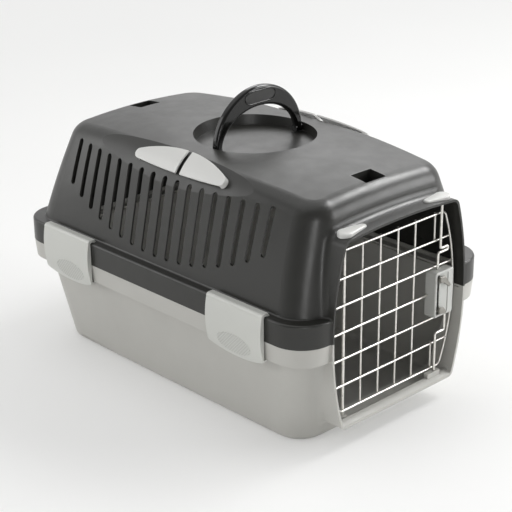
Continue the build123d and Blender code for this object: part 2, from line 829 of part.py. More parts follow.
for side, side_name in ((-1, "left"), (1, "right")):
    for clip_y, end_name in ((clip_front_y, "front"), (clip_rear_y, "rear")):
        with BuildPart() as clip:
            with BuildSketch(Plane.XZ.offset(-(clip_y - clip_width / 2))) as section:
                with BuildLine():
                    points = [
                        (clip_bead_x - 0.4, clip_head_z),
                        (clip_outer_x - 4.0, clip_head_z),
                        (clip_outer_x, rim_top - 1.0),
                        (clip_outer_x + clip_bulge, parting_height + 3.0),
                        (clip_outer_x, skirt_bottom + 4.0),
                        (clip_inner_x - clip_tail_curl, clip_tail_z),
                        (clip_inner_x - clip_tail_curl - clip_tail_thickness, clip_tail_z + 1.2),
                        (clip_inner_x - clip_hook_reach, clip_hook_z - 1.0),
                        (clip_inner_x - clip_hook_reach, clip_hook_z),
                        (clip_inner_x, clip_hook_z),
                        (clip_inner_x, clip_seat_z - 1.2),
                        (clip_inner_x - 1.2, clip_seat_z),
                        (clip_bead_x, clip_seat_z),
                        (clip_bead_x, rim_top),
                        (clip_bead_x - 0.4, rim_top + clip_bead_radius / 2),
                    ]
                    at = [(side * x, z) for x, z in points]
                    Line(at[0], at[1])
                    shoulder_mid = (side * (clip_outer_x - 0.9), clip_head_z - 1.2)
                    ThreePointArc(at[1], shoulder_mid, at[2])
                    ThreePointArc(at[2], at[3], at[4])
                    curl_mid = (side * (clip_outer_x - 1.6), (at[4][1] + at[5][1]) / 2)
                    ThreePointArc(at[4], curl_mid, at[5])
                    Polyline(*at[5:], at[0])
                make_face()
                with Locations((side * clip_bead_x, rim_top)):
                    Circle(clip_bead_radius)
            extrude(amount=-clip_width)
            # Outline seen from the side: rounded corners over an arched lower edge
            with BuildSketch(Plane.YZ) as face_outline:
                with BuildLine():
                    low = skirt_bottom - clip_tail_side_drop
                    half = clip_width / 2
                    high = clip_head_z + 1
                    ThreePointArc((clip_y - half, low), (clip_y, clip_tail_z), (clip_y + half, low))
                    Polyline(
                        (clip_y + half, low),
                        (clip_y + half, high),
                        (clip_y - half, high),
                        (clip_y - half, low),
                    )
                make_face()
                fillet(face_outline.vertices().group_by(Axis.Y)[0], clip_corner_radius)
            extrude(amount=side * 2 * rim_half_width, mode=Mode.INTERSECT)
        export(clip.part, f"clip_{end_name}_{side_name}")

# Handle: an arch that lies down in the dish, thick in the middle for the hand
inlay_plane_z = handle_z + inlay_rise
with BuildPart() as handle:
    arch_origin = (0, handle_y - handle_thickness / 2, handle_z)
    with BuildSketch(Plane(origin=arch_origin, x_dir=(1, 0, 0), z_dir=(0, -1, 0))):
        Ellipse(handle_half_width, handle_height)
        Ellipse(handle_inner_half_width, handle_inner_height, mode=Mode.SUBTRACT)
        with Locations((0, -handle_height)):
            Rectangle(3 * handle_half_width, 2 * handle_height, mode=Mode.SUBTRACT)
    extrude(amount=-handle_thickness)
    front_and_rear = handle.faces().filter_by(Axis.Y)
    arch_edges = front_and_rear.edges().filter_by(GeomType.LINE, reverse=True)
    fillet(arch_edges, handle_round)
    for side in (-1, 1):
        foot_start = side * handle_inner_half_width
        foot_length = handle_half_width - handle_inner_half_width
        with BuildSketch(Plane.YZ.offset(foot_start)):
            with Locations((handle_y, handle_z)):
                Circle(handle_thickness / 2)
        extrude(amount=side * foot_length)
        with BuildSketch(Plane.YZ.offset(side * (handle_half_width - 2))):
            with Locations((handle_y, handle_z)):
                Circle(handle_pin_radius)
        extrude(amount=side * (handle_pin_length + 2))
    for end in (-1, 1):
        with BuildSketch(Plane.XZ.offset(-(handle_y + end * handle_thickness / 2))):
            with Locations((0, inlay_plane_z)):
                Ellipse(inlay_length / 2, inlay_height / 2)
        extrude(amount=end * inlay_depth, mode=Mode.SUBTRACT)
export(handle.part, "handle")

for end, end_name in ((-1, "front"), (1, "rear")):
    with BuildPart() as handle_inlay:
        with BuildSketch(Plane.XZ.offset(-(handle_y + end * handle_thickness / 2))):
            with Locations((0, inlay_plane_z)):
                Ellipse(inlay_length / 2, inlay_height / 2)
        extrude(amount=end * inlay_depth)
    export(handle_inlay.part, f"handle_inlay_{end_name}")

# Door: welded wire with a hinge rod
with BuildSketch(Plane.XZ.offset(-door_y)) as door_face:
    with BuildLine():
        for side in (1, -1):
            ThreePointArc(
                (side * door_half_width_bottom, door_bottom_z),
                (side * door_half_width_mid, frame_widest_z),
                (side * door_half_width_top, door_top_z),
            )
        Line((-door_half_width_top, door_top_z), (door_half_width_top, door_top_z))
        Line((-door_half_width_bottom, door_bottom_z), (door_half_width_bottom, door_bottom_z))
    make_face()
    fillet(door_face.vertices(), door_corner_radius)
door_loop = door_face.sketch.faces()[0].outer_wire()

with BuildPart() as door_grille:
    with BuildSketch(Plane(origin=door_loop @ 0, z_dir=door_loop % 0)):
        Circle(door_frame_wire_radius)
    sweep(path=door_loop)
    for row in range(1, door_row_count - 1):
        row_z = door_top_z - row * row_pitch
        row_half = door_side_at(row_z)
        with BuildSketch(Plane.YZ.offset(-row_half)):
            with Locations((door_y, row_z)):
                Circle(wire_radius)
        extrude(amount=2 * row_half)
export(door_grille.part, "door_grille")

with BuildPart() as door_uprights:
    upright_low = door_bottom_z - wire_radius
    upright_high = door_top_z + wire_radius
    with BuildSketch(Plane.XY.offset(upright_low)):
        for index in range(upright_count):
            with Locations((upright_first_x + index * upright_pitch, upright_y)):
                Circle(wire_radius)
        with Locations((short_upright_x, upright_y)):
            Circle(wire_radius)
    extrude(amount=upright_high - upright_low)
    gap_low = door_bottom_z + row_pitch + wire_radius
    gap_high = door_top_z - row_pitch - wire_radius
    with Locations((short_upright_x, upright_y, (gap_low + gap_high) / 2)):
        Box(4 * wire_radius, 4 * wire_radius, gap_high - gap_low, mode=Mode.SUBTRACT)
export(door_uprights.part, "door_uprights")

with BuildPart() as hinge_rod:
    rod_low = boss_top - hinge_boss_height + rod_end_gap
    rod_high = cap_top_z - cap_skin - rod_end_gap
    with BuildSketch(Plane.XY.offset(rod_low)):
        with Locations((hinge_x, hinge_y)):
            Circle(hinge_rod_radius)
    extrude(amount=rod_high - rod_low)
export(hinge_rod.part, "hinge_rod")

# Latch housing: a box open at the back, with a recess and a slot in its face
latch_x = (latch_left_x + latch_right_x) / 2
latch_z = (latch_bottom_z + latch_top_z) / 2
latch_width = latch_right_x - latch_left_x
latch_height = latch_top_z - latch_bottom_z
tab_stem_x = tab_stem_left_x + tab_stem_width / 2

with BuildPart() as latch_housing:
    with BuildSketch(Plane.XZ.offset(-latch_front_y)):
        with Locations((latch_x, latch_z)):
            RectangleRounded(latch_width, latch_height, latch_corner)
    extrude(amount=-(latch_back_y - latch_front_y))
    housing_face = latch_housing.faces().sort_by(Axis.Y)[0]
    fillet(housing_face.edges(), latch_edge_radius)
    with BuildSketch(Plane.XZ.offset(-latch_back_y)):
        with Locations((latch_x, latch_z)):
            Rectangle(latch_width - 2 * latch_side_wall, latch_height - 2 * latch_end_wall)
    extrude(amount=latch_back_y - latch_front_y - latch_front_wall, mode=Mode.SUBTRACT)
    recess_width = latch_recess_right_x - latch_recess_left_x
    recess_height = latch_height - 2 * latch_recess_margin
    with BuildSketch(Plane.XZ.offset(-latch_front_y)):
        with Locations(((latch_recess_left_x + latch_recess_right_x) / 2, latch_z)):
            RectangleRounded(recess_width, recess_height, 1.5)
    extrude(amount=-latch_recess_depth, mode=Mode.SUBTRACT)
    slot_low = lower_slider_z - tab_stem_height / 2 - bolt_throw - tab_slot_gap
    slot_high = upper_slider_z + tab_stem_height / 2 + bolt_throw + tab_slot_gap
    with BuildSketch(Plane.XZ.offset(-latch_front_y)):
        with Locations((tab_stem_x, (slot_low + slot_high) / 2)):
            Rectangle(tab_stem_width + 2 * tab_slot_gap, slot_high - slot_low)
    extrude(amount=-latch_front_wall, mode=Mode.SUBTRACT)
    # Notches for the cross wire that runs through the housing
    notch_half = wire_radius + running_clearance
    for row in range(1, door_row_count - 1):
        row_z = door_top_z - row * row_pitch
        with Locations((latch_x, door_y + notch_half, row_z)):
            Box(latch_width + 2, 4 * notch_half, 2 * notch_half, mode=Mode.SUBTRACT)
    for rod_x, start_z, way in (
        (upper_entry_x, latch_top_z, -1),
        (lower_entry_x, latch_bottom_z, 1),
    ):
        with BuildSketch(Plane.XY.offset(start_z)):
            with Locations((rod_x, bolt_y)):
                Circle(bolt_radius + bolt_clearance)
        extrude(amount=way * latch_end_wall, mode=Mode.SUBTRACT)
export(latch_housing.part, "latch_housing")

with BuildPart() as latch_back:
    with BuildSketch(Plane.XZ.offset(-latch_back_y)):
        with Locations((latch_x, latch_z)):
            RectangleRounded(latch_width, latch_height, latch_corner)
    extrude(amount=-latch_back_thickness)
export(latch_back.part, "latch_back")

# Bolts: bent rods, drawn together by the thumb tabs and pushed apart by the spring
upper_tip_z = frame_top_at(upper_bolt_x) - wall - bolt_mouth_gap
lower_tip_z = keeper_top_z + bolt_mouth_gap
upper_bolt_part = wire(
    [
        (upper_entry_x, bolt_y, upper_slider_z - slider_height / 2),
        (upper_entry_x, bolt_y, upper_loop_z),
        (loop_end_x, bolt_y, upper_loop_z),
        (loop_end_x, bolt_y, upper_loop_z + upper_loop_rise),
        (upper_bolt_x, bolt_y, upper_loop_z + upper_loop_rise),
        (upper_bolt_x, bolt_y, upper_tip_z),
    ],
    bolt_radius,
    bolt_bend_radius,
)
lower_bolt_part = wire(
    [
        (lower_entry_x, bolt_y, lower_slider_z + slider_height / 2),
        (lower_entry_x, bolt_y, lower_loop_z),
        (lower_bolt_x, bolt_y, lower_loop_z),
        (lower_bolt_x, bolt_y, lower_tip_z),
    ],
    bolt_radius,
    bolt_bend_radius,
)
with BuildPart() as upper_bolt:
    add(upper_bolt_part)
export(upper_bolt.part, "upper_bolt")

with BuildPart() as lower_bolt:
    add(lower_bolt_part)
export(lower_bolt.part, "lower_bolt")

# Thumb tabs: a slider inside the housing, a stem through the slot and a pad outside
slider_front_y = latch_front_y + latch_front_wall + slider_gap
slider_rear_y = latch_back_y - slider_gap
upper_pad = [(0.0, 4.6), (8.4, 3.6), (18.3, -9.4), (15.0, -10.8), (5.0, -3.0), (0.0, -2.6)]
lower_pad = [(0.0, 5.0), (8.0, 2.8), (12.3, -3.6), (9.0, -4.8), (0.0, -2.8)]
for name, centre_z, right_x, rod_x, pad in (
    ("upper_tab", upper_slider_z, upper_slider_right_x, upper_entry_x, upper_pad),
    ("lower_tab", lower_slider_z, lower_slider_right_x, lower_entry_x, lower_pad),
):
    with BuildPart() as tab:
        slider_width = right_x - latch_left_x - latch_side_wall - slider_gap
        slider_x = right_x - slider_width / 2
        with Locations((slider_x, (slider_front_y + slider_rear_y) / 2, centre_z)):
            Box(slider_width, slider_rear_y - slider_front_y, slider_height)
        stem_length = slider_front_y - tab_front_y
        with Locations((tab_stem_x, tab_front_y + stem_length / 2, centre_z)):
            Box(tab_stem_width, stem_length, tab_stem_height)
        with BuildSketch(Plane.XZ.offset(-tab_front_y)):
            with BuildLine():
                outline = [(tab_stem_left_x + x, centre_z + z) for x, z in pad]
                Polyline(*outline, close=True)
            make_face()
        extrude(amount=-tab_thickness)
        chamfer(tab.faces().sort_by(Axis.Y)[0].edges(), tab_edge)
        with BuildSketch(Plane.XY.offset(centre_z - slider_height / 2)):
            with Locations((rod_x, bolt_y)):
                Circle(bolt_radius)
        extrude(amount=slider_height, mode=Mode.SUBTRACT)
    export(tab.part, name)

# Spring between the two sliders
spring_low = lower_slider_z + slider_height / 2
spring_high = upper_slider_z - slider_height / 2
with BuildPart() as latch_spring:
    with BuildLine() as coil:
        Helix(
            (spring_high - spring_low - 2 * spring_wire_radius) / spring_turns,
            spring_high - spring_low - 2 * spring_wire_radius,
            spring_radius,
            center=(spring_x, spring_y, spring_low + spring_wire_radius),
        )
    with BuildSketch(Plane(origin=coil.line @ 0, z_dir=coil.line % 0)):
        Circle(spring_wire_radius)
    sweep(path=coil.line)
export(latch_spring.part, "latch_spring")
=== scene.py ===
import math

import bpy
from mathutils import Matrix, Vector


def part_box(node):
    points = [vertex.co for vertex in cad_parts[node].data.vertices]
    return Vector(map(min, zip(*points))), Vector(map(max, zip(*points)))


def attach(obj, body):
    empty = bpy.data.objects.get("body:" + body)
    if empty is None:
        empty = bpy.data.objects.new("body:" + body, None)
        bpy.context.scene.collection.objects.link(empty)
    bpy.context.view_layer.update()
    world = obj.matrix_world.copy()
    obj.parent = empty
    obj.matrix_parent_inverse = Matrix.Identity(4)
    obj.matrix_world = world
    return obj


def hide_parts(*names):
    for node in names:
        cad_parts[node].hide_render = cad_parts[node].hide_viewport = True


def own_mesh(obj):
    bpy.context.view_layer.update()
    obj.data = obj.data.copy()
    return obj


bl_info = {
    "name": "Pet carrier",
    "version": (1, 0, 0),
    "blender": (4, 5, 0),
    "location": "3D View > Sidebar > Carrier",
    "description": "Finishes a two-shell pet carrier with a wire door and sets its studio",
    "category": "Object",
}

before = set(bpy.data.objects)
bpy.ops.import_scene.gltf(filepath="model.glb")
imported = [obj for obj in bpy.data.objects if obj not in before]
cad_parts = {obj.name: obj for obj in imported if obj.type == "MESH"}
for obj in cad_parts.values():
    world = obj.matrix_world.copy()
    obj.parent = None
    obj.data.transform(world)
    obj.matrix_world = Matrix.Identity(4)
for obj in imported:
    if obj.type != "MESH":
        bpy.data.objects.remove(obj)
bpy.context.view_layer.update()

ENDS = ("front", "rear")
SIDES = ("front_left", "rear_left", "front_right", "rear_right")


def tone(red, green, blue):
    """A screen colour, 0 to 255 for each channel, as the linear values that shaders take."""
    channels = []
    for value in (red, green, blue):
        share = value / 255
        if share <= 0.04045:
            channels.append(share / 12.92)
        else:
            channels.append(((share + 0.055) / 1.055) ** 2.4)
    return tuple(channels)


# Settings that a user would change


class ShellSettings(bpy.types.PropertyGroup):
    hood_colour: bpy.props.FloatVectorProperty(
        name="Hood colour", description="Colour of the upper shell", subtype="COLOR",
        size=3, min=0, max=1, default=tone(36, 36, 33))
    tub_colour: bpy.props.FloatVectorProperty(
        name="Tub colour", description="Colour of the lower shell", subtype="COLOR",
        size=3, min=0, max=1, default=tone(184, 183, 178))
    grain_size: bpy.props.FloatProperty(
        name="Grain size", description="Width of one grain of the moulded texture",
        subtype="DISTANCE", unit="LENGTH", min=0.0001, max=0.01, precision=5, default=0.0008)
    grain_depth: bpy.props.FloatProperty(
        name="Grain depth", description="Depth of the moulded texture",
        subtype="DISTANCE", unit="LENGTH", min=0, max=0.001, precision=6, default=0.00004)


class TrimSettings(bpy.types.PropertyGroup):
    clip_colour: bpy.props.FloatVectorProperty(
        name="Clip colour", description="Colour of the four side clips", subtype="COLOR",
        size=3, min=0, max=1, default=tone(198, 199, 194))
    trim_colour: bpy.props.FloatVectorProperty(
        name="Trim colour", description="Colour of the belt guides and pin caps", subtype="COLOR",
        size=3, min=0, max=1, default=tone(210, 210, 207))
    anchor_colour: bpy.props.FloatVectorProperty(
        name="Anchor colour", description="Colour of the strap anchors in the roof", subtype="COLOR",
        size=3, min=0, max=1, default=tone(44, 44, 42))


class GripSettings(bpy.types.PropertyGroup):
    length: bpy.props.FloatProperty(
        name="Grip length", description="Length of the oval thumb grip on each clip",
        subtype="DISTANCE", unit="LENGTH", min=0.02, max=0.06, precision=4, default=0.052)
    height: bpy.props.FloatProperty(
        name="Grip height", description="Height of the oval thumb grip on each clip",
        subtype="DISTANCE", unit="LENGTH", min=0.02, max=0.04, precision=4, default=0.024)
    middle_z: bpy.props.FloatProperty(
        name="Grip middle", description="How high the middle of each grip lies above the floor",
        subtype="DISTANCE", unit="LENGTH", min=0.09, max=0.14, precision=4, default=0.1135)
    lattice_pitch: bpy.props.FloatProperty(
        name="Lattice pitch", description="Distance between two ridges of the pressed lattice",
        subtype="DISTANCE", unit="LENGTH", min=0.001, max=0.01, precision=4, default=0.0026)
    lattice_depth: bpy.props.FloatProperty(
        name="Lattice depth", description="Depth of the pressed lattice",
        subtype="DISTANCE", unit="LENGTH", min=0, max=0.001, precision=5, default=0.0003)


class HandleSettings(bpy.types.PropertyGroup):
    handle_colour: bpy.props.FloatVectorProperty(
        name="Handle colour", description="Colour of the glossy folding handle", subtype="COLOR",
        size=3, min=0, max=1, default=tone(15, 15, 14))
    inlay_colour: bpy.props.FloatVectorProperty(
        name="Inlay colour", description="Colour of the matt grip inlays", subtype="COLOR",
        size=3, min=0, max=1, default=tone(38, 38, 37))
    bead_radius: bpy.props.FloatProperty(
        name="Bead radius", description="Radius of the bead round each grip inlay",
        subtype="DISTANCE", unit="LENGTH", min=0.0002, max=0.002, precision=5, default=0.0007)


class DoorSettings(bpy.types.PropertyGroup):
    wire_colour: bpy.props.FloatVectorProperty(
        name="Wire colour", description="Colour of the plated wires", subtype="COLOR",
        size=3, min=0, max=1, default=tone(232, 230, 224))
    tab_colour: bpy.props.FloatVectorProperty(
        name="Tab colour", description="Colour of the two squeeze tabs", subtype="COLOR",
        size=3, min=0, max=1, default=tone(150, 148, 142))
    latch_colour: bpy.props.FloatVectorProperty(
        name="Latch colour", description="Colour of the latch housing", subtype="COLOR",
        size=3, min=0, max=1, default=tone(188, 189, 185))


class StudioSettings(bpy.types.PropertyGroup):
    floor_size: bpy.props.FloatProperty(
        name="Floor size", description="Width of the pale floor", subtype="DISTANCE",
        unit="LENGTH", min=1, max=100, default=60)
    lens: bpy.props.FloatProperty(
        name="Lens", description="Focal length of the camera in millimetres",
        min=10, max=500, default=102.3)
    roll: bpy.props.FloatProperty(
        name="Camera roll", description="Turn of the camera about its own line of sight",
        subtype="ANGLE", unit="ROTATION", default=math.radians(-0.61))
    camera_place: bpy.props.FloatVectorProperty(
        name="Camera place", description="Where the camera stands", subtype="TRANSLATION",
        unit="LENGTH", size=3, default=(-1.0826, -1.1496, 0.7805))
    camera_target: bpy.props.FloatVectorProperty(
        name="Camera target", description="The point the camera looks at", subtype="TRANSLATION",
        unit="LENGTH", size=3, default=(0.0, -0.01505, 0.13088))


# Materials


def new_material(name):
    """An empty node material with a principled shader wired to its output."""
    material = bpy.data.materials.new(name)
    material.use_nodes = True
    tree = material.node_tree
    tree.nodes.clear()
    output = tree.nodes.new("ShaderNodeOutputMaterial")
    output.location = (600, 0)
    shader = tree.nodes.new("ShaderNodeBsdfPrincipled")
    shader.location = (300, 0)
    tree.links.new(shader.outputs["BSDF"], output.inputs["Surface"])
    return material, tree, shader


def noise(tree, coordinates, size, detail):
    """A noise texture whose blobs are about the given size in metres."""
    texture = tree.nodes.new("ShaderNodeTexNoise")
    texture.inputs["Scale"].default_value = 1 / size
    texture.inputs["Detail"].default_value = detail
    tree.links.new(coordinates, texture.inputs["Vector"])
    return texture.outputs["Fac"]


def stretched(tree, coordinates, stretch):
    """The same coordinates, scaled along each axis, for streaks."""
    mapping = tree.nodes.new("ShaderNodeMapping")
    mapping.inputs["Scale"].default_value = stretch
    tree.links.new(coordinates, mapping.inputs["Vector"])
    return mapping.outputs["Vector"]


def ranged(tree, value, low, high, start=0.3, stop=0.7):
    """The value spread from low to high."""
    spread = tree.nodes.new("ShaderNodeMapRange")
    spread.inputs["From Min"].default_value = start
    spread.inputs["From Max"].default_value = stop
    spread.inputs["To Min"].default_value = low
    spread.inputs["To Max"].default_value = high
    tree.links.new(value, spread.inputs["Value"])
    return spread.outputs["Result"]


def blended(tree, factor, first, second):
    """Two plain colours mixed by a factor."""
    mix = tree.nodes.new("ShaderNodeMix")
    mix.data_type = "RGBA"
    mix.inputs["A"].default_value = (*first, 1)
    mix.inputs["B"].default_value = (*second, 1)
    tree.links.new(factor, mix.inputs["Factor"])
    return mix.outputs["Result"]


def bumped(tree, height, distance, below=None):
    """A bump whose height is in metres, on top of another bump if one is given."""
    bump = tree.nodes.new("ShaderNodeBump")
    bump.inputs["Distance"].default_value = distance
    tree.links.new(height, bump.inputs["Height"])
    if below is not None:
        tree.links.new(below, bump.inputs["Normal"])
    return bump.outputs["Normal"]


def combined(tree, operation, first, second):
    """Two values put together by a Math node."""
    node = tree.nodes.new("ShaderNodeMath")
    node.operation = operation
    tree.links.new(first, node.inputs[0])
    tree.links.new(second, node.inputs[1])
    return node.outputs["Value"]


def object_coordinates(tree):
    """The piece's own coordinates in metres."""
    return tree.nodes.new("ShaderNodeTexCoord").outputs["Object"]


def shade(colour, share):
    """A colour made lighter or darker by a share."""
    return tuple(min(1.0, channel * share) for channel in colour)


def moulded_plastic(name, colour, roughness, grain_size, grain_depth, specular=0.5, cloud=0.04):
    """Injection-moulded plastic: a fine grain, faint clouds in the colour, and uneven gloss."""
    material, tree, shader = new_material(name)
    place = object_coordinates(tree)
    clouds = noise(tree, place, size=0.06, detail=3)
    tint = blended(tree, ranged(tree, clouds, 0, 1), shade(colour, 1 - cloud), shade(colour, 1 + cloud))
    tree.links.new(tint, shader.inputs["Base Color"])
    patches = noise(tree, place, size=0.018, detail=4)
    gloss = ranged(tree, patches, roughness * 0.9, roughness * 1.1)
    tree.links.new(gloss, shader.inputs["Roughness"])
    grain = noise(tree, place, size=grain_size, detail=2)
    wave = noise(tree, place, size=0.03, detail=1)
    shell = bumped(tree, wave, distance=0.0003)
    tree.links.new(bumped(tree, grain, grain_depth, below=shell), shader.inputs["Normal"])
    shader.inputs["Specular IOR Level"].default_value = specular
    return material


def fine_plastic(name, colour, roughness, cloud=0.015):
    """The plastic of the small parts, which has a finer and shallower grain than the shells."""
    return moulded_plastic(name, colour, roughness, grain_size=0.0007, grain_depth=0.00002, cloud=cloud)


def plated_wire(name, colour, roughness):
    """Steel wire with a bright, slightly drawn plating."""
    material, tree, shader = new_material(name)
    place = object_coordinates(tree)
    spots = noise(tree, place, size=0.004, detail=4)
    tint = blended(tree, ranged(tree, spots, 0, 1), shade(colour, 0.86), shade(colour, 1.04))
    tree.links.new(tint, shader.inputs["Base Color"])
    patches = noise(tree, place, size=0.0015, detail=3)
    tree.links.new(ranged(tree, patches, roughness * 0.8, roughness * 1.25), shader.inputs["Roughness"])
    pores = noise(tree, place, size=0.0006, detail=2)
    tree.links.new(bumped(tree, pores, distance=0.00002), shader.inputs["Normal"])
    shader.inputs["Metallic"].default_value = 0.85
    return material


def gloss_plastic(name, colour, roughness):
    """Polished black plastic with hairline scuffs and faint flow marks."""
    material, tree, shader = new_material(name)
    place = object_coordinates(tree)
    clouds = noise(tree, place, size=0.02, detail=2)
    tint = blended(tree, ranged(tree, clouds, 0, 1), shade(colour, 0.8), shade(colour, 1.25))
    tree.links.new(tint, shader.inputs["Base Color"])
    scuffs = noise(tree, stretched(tree, place, (0.2, 1.0, 1.0)), size=0.0012, detail=3)
    tree.links.new(ranged(tree, scuffs, roughness * 0.75, roughness * 1.5), shader.inputs["Roughness"])
    wave = noise(tree, place, size=0.008, detail=1)
    tree.links.new(bumped(tree, wave, distance=0.00008), shader.inputs["Normal"])
    shader.inputs["Specular IOR Level"].default_value = 0.3
    shader.inputs["Coat Weight"].default_value = 0.15
    shader.inputs["Coat Roughness"].default_value = 0.05
    return material


# Pieces


def deselect():
    """Leaves object mode with nothing selected."""
    if bpy.context.object is not None and bpy.context.object.mode != "OBJECT":
        bpy.ops.object.mode_set(mode="OBJECT")
    bpy.ops.object.select_all(action="DESELECT")


def select_only(piece):
    """Makes one piece the only one that is selected, and the active one."""
    deselect()
    piece.select_set(True)
    bpy.context.view_layer.objects.active = piece


def finish_nodes(material, names):
    """Gives carried-over CAD nodes their material."""
    for name in names:
        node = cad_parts[name]
        node.data.materials.clear()
        node.data.materials.append(material)


def look_at(place, target, roll=0.0):
    """The rotation that turns an object's -Z axis from its place to a target."""
    turn = (Vector(target) - Vector(place)).to_track_quat("-Z", "Y").to_matrix()
    return (turn @ Matrix.Rotation(roll, 3, "Z")).to_euler()


class CARRIER_OT_shells(bpy.types.Operator):
    """Finish the lower and upper shells in moulded plastic"""
    bl_idname = "carrier.shells"
    bl_label = "Finish shells"

    def execute(self, context):
        shells = context.scene.carrier_shells
        hood = moulded_plastic("hood_plastic", shells.hood_colour, roughness=0.35,
                               grain_size=shells.grain_size, grain_depth=shells.grain_depth)
        tub = moulded_plastic("tub_plastic", shells.tub_colour, roughness=0.45,
                              grain_size=shells.grain_size, grain_depth=shells.grain_depth,
                              specular=0.4, cloud=0.02)
        finish_nodes(hood, ["top_shell"])
        finish_nodes(tub, ["bottom_shell"])
        return {"FINISHED"}


class CARRIER_OT_trim(bpy.types.Operator):
    """Finish the belt guides, the pin caps and the strap anchors"""
    bl_idname = "carrier.trim"
    bl_label = "Finish trim"

    def execute(self, context):
        trim = context.scene.carrier_trim
        pale = fine_plastic("trim_plastic", trim.trim_colour, roughness=0.34)
        dark = fine_plastic("anchor_plastic", trim.anchor_colour, roughness=0.3, cloud=0.1)
        finish_nodes(pale, ["belt_guide_" + side for side in SIDES])
        finish_nodes(pale, ["pin_cap_left", "pin_cap_right"])
        finish_nodes(dark, ["strap_anchor_front", "strap_anchor_rear"])
        return {"FINISHED"}


# How far apart the bands of a wave texture lie at a scale of 1
WAVE_PERIOD = 2 * math.pi / 20


def lattice_plastic(name, colour, pitch, depth):
    """Clip plastic with a diagonal lattice pressed into it, with painted shade darkening its grooves."""
    material, tree, shader = new_material(name)
    place = object_coordinates(tree)
    turned = tree.nodes.new("ShaderNodeMapping")
    turned.inputs["Rotation"].default_value = (math.radians(45), 0, 0)
    tree.links.new(place, turned.inputs["Vector"])
    waves = []
    for direction in ("Y", "Z"):
        wave = tree.nodes.new("ShaderNodeTexWave")
        wave.bands_direction = direction
        wave.inputs["Scale"].default_value = WAVE_PERIOD / pitch
        tree.links.new(turned.outputs["Vector"], wave.inputs["Vector"])
        waves.append(wave.outputs["Fac"])
    ridges = combined(tree, "MAXIMUM", *waves)
    # Painted shade: the colour is darkened in the lattice's grooves and stays near full on its ridges.
    painted_groove_shade = ranged(tree, ridges, 0, 1, start=0.35, stop=0.85)
    tint = blended(tree, painted_groove_shade, shade(colour, 0.74), shade(colour, 0.98))
    tree.links.new(tint, shader.inputs["Base Color"])
    patches = noise(tree, place, size=0.006, detail=3)
    tree.links.new(ranged(tree, patches, 0.4, 0.5), shader.inputs["Roughness"])
    tree.links.new(bumped(tree, ridges, distance=depth), shader.inputs["Normal"])
    return material


GRIP_POINTS = 64
# How much smaller each ring of a grip is than the one outside it, and how far each ring stands out.
# Rings are scaled, not inset by a width, because a width would cross itself at the oval's tips.
GRIP_RINGS = (0.97, 0.95, 0.97, 0.9, 0.78, 0.7, 0.5)
GRIP_RISES = (-0.0002, 0.00034, 0.00034, 0.0001, 0.0001, 0.0001, 0.0001, 0.0001)
# A ring is split off by this much before it is scaled
GRIP_SPLIT = 0.00001
GRIP_THICKNESS = 0.0012
GRIP_CREASE = math.radians(35)
# How far outside its clip a grip starts, before it is laid on it
GRIP_START = 0.01
# Where the middle of a grip lies along its clip, from the clip's own middle
GRIP_SHIFT = {"front": 0.0005, "rear": -0.0045}


def clip_middle_y(name):
    """The middle of a clip along the carrier."""
    low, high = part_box(name)
    return (low[1] + high[1]) / 2


def flat_grip(grips, middle):
    """A flat oval of rings, facing the left side, before it is laid on a clip."""
    deselect()
    bpy.ops.mesh.primitive_circle_add(vertices=GRIP_POINTS, radius=1, fill_type="NGON", location=middle,
                                      rotation=(0, -math.pi / 2, 0))
    pad = bpy.context.object
    bpy.ops.object.transform_apply(location=True, rotation=True, scale=True)
    bpy.ops.object.mode_set(mode="EDIT")
    bpy.ops.mesh.select_all(action="SELECT")
    bpy.ops.transform.resize(value=(1, grips.length / 2, grips.height / 2), center_override=middle)
    for share in GRIP_RINGS:
        bpy.ops.mesh.inset(thickness=GRIP_SPLIT, depth=0)
        bpy.ops.transform.resize(value=(1, share, share), center_override=middle)
    bpy.ops.object.mode_set(mode="OBJECT")
    return pad


def copied(piece, name):
    """A copy of a piece with its own mesh, left selected and active."""
    select_only(piece)
    bpy.ops.object.duplicate(linked=False)
    twin = bpy.context.object
    twin.name = name
    return twin


def ring_points(pad, grips, middle, ring):
    """The points of one ring of a grip, counted from its outer edge."""
    ranked = sorted(pad.data.vertices, key=lambda point: -math.hypot(
        (point.co.y - middle[1]) / grips.length, (point.co.z - middle[2]) / grips.height))
    return ranked[ring * GRIP_POINTS:(ring + 1) * GRIP_POINTS]


def lay_on_clip(pad, clip, grips, middle):
    """Lays a flat grip on its clip, raises its rim and gives it its thickness."""
    select_only(pad)
    wrap = pad.modifiers.new("lay_on_clip", "SHRINKWRAP")
    wrap.target = clip
    wrap.wrap_method = "PROJECT"
    wrap.use_project_x = True
    wrap.use_project_y = False
    wrap.use_project_z = False
    wrap.use_positive_direction = True
    wrap.use_negative_direction = True
    bpy.ops.object.modifier_apply(modifier=wrap.name)
    for ring, rise in enumerate(GRIP_RISES):
        for point in ring_points(pad, grips, middle, ring):
            point.co.x -= rise
    body = pad.modifiers.new("thickness", "SOLIDIFY")
    body.thickness = GRIP_THICKNESS
    body.offset = -1
    bpy.ops.object.modifier_apply(modifier=body.name)
    bpy.ops.object.shade_smooth_by_angle(angle=GRIP_CREASE)


def mirrored_grip(pad, name):
    """The same grip on the right side, with its faces turned outwards again."""
    twin = copied(pad, name)
    twin.scale.x = -1
    bpy.ops.object.transform_apply(location=True, rotation=True, scale=True)
    bpy.ops.object.mode_set(mode="EDIT")
    bpy.ops.mesh.select_all(action="SELECT")
    bpy.ops.mesh.normals_make_consistent(inside=False)
    bpy.ops.object.mode_set(mode="OBJECT")
    return twin


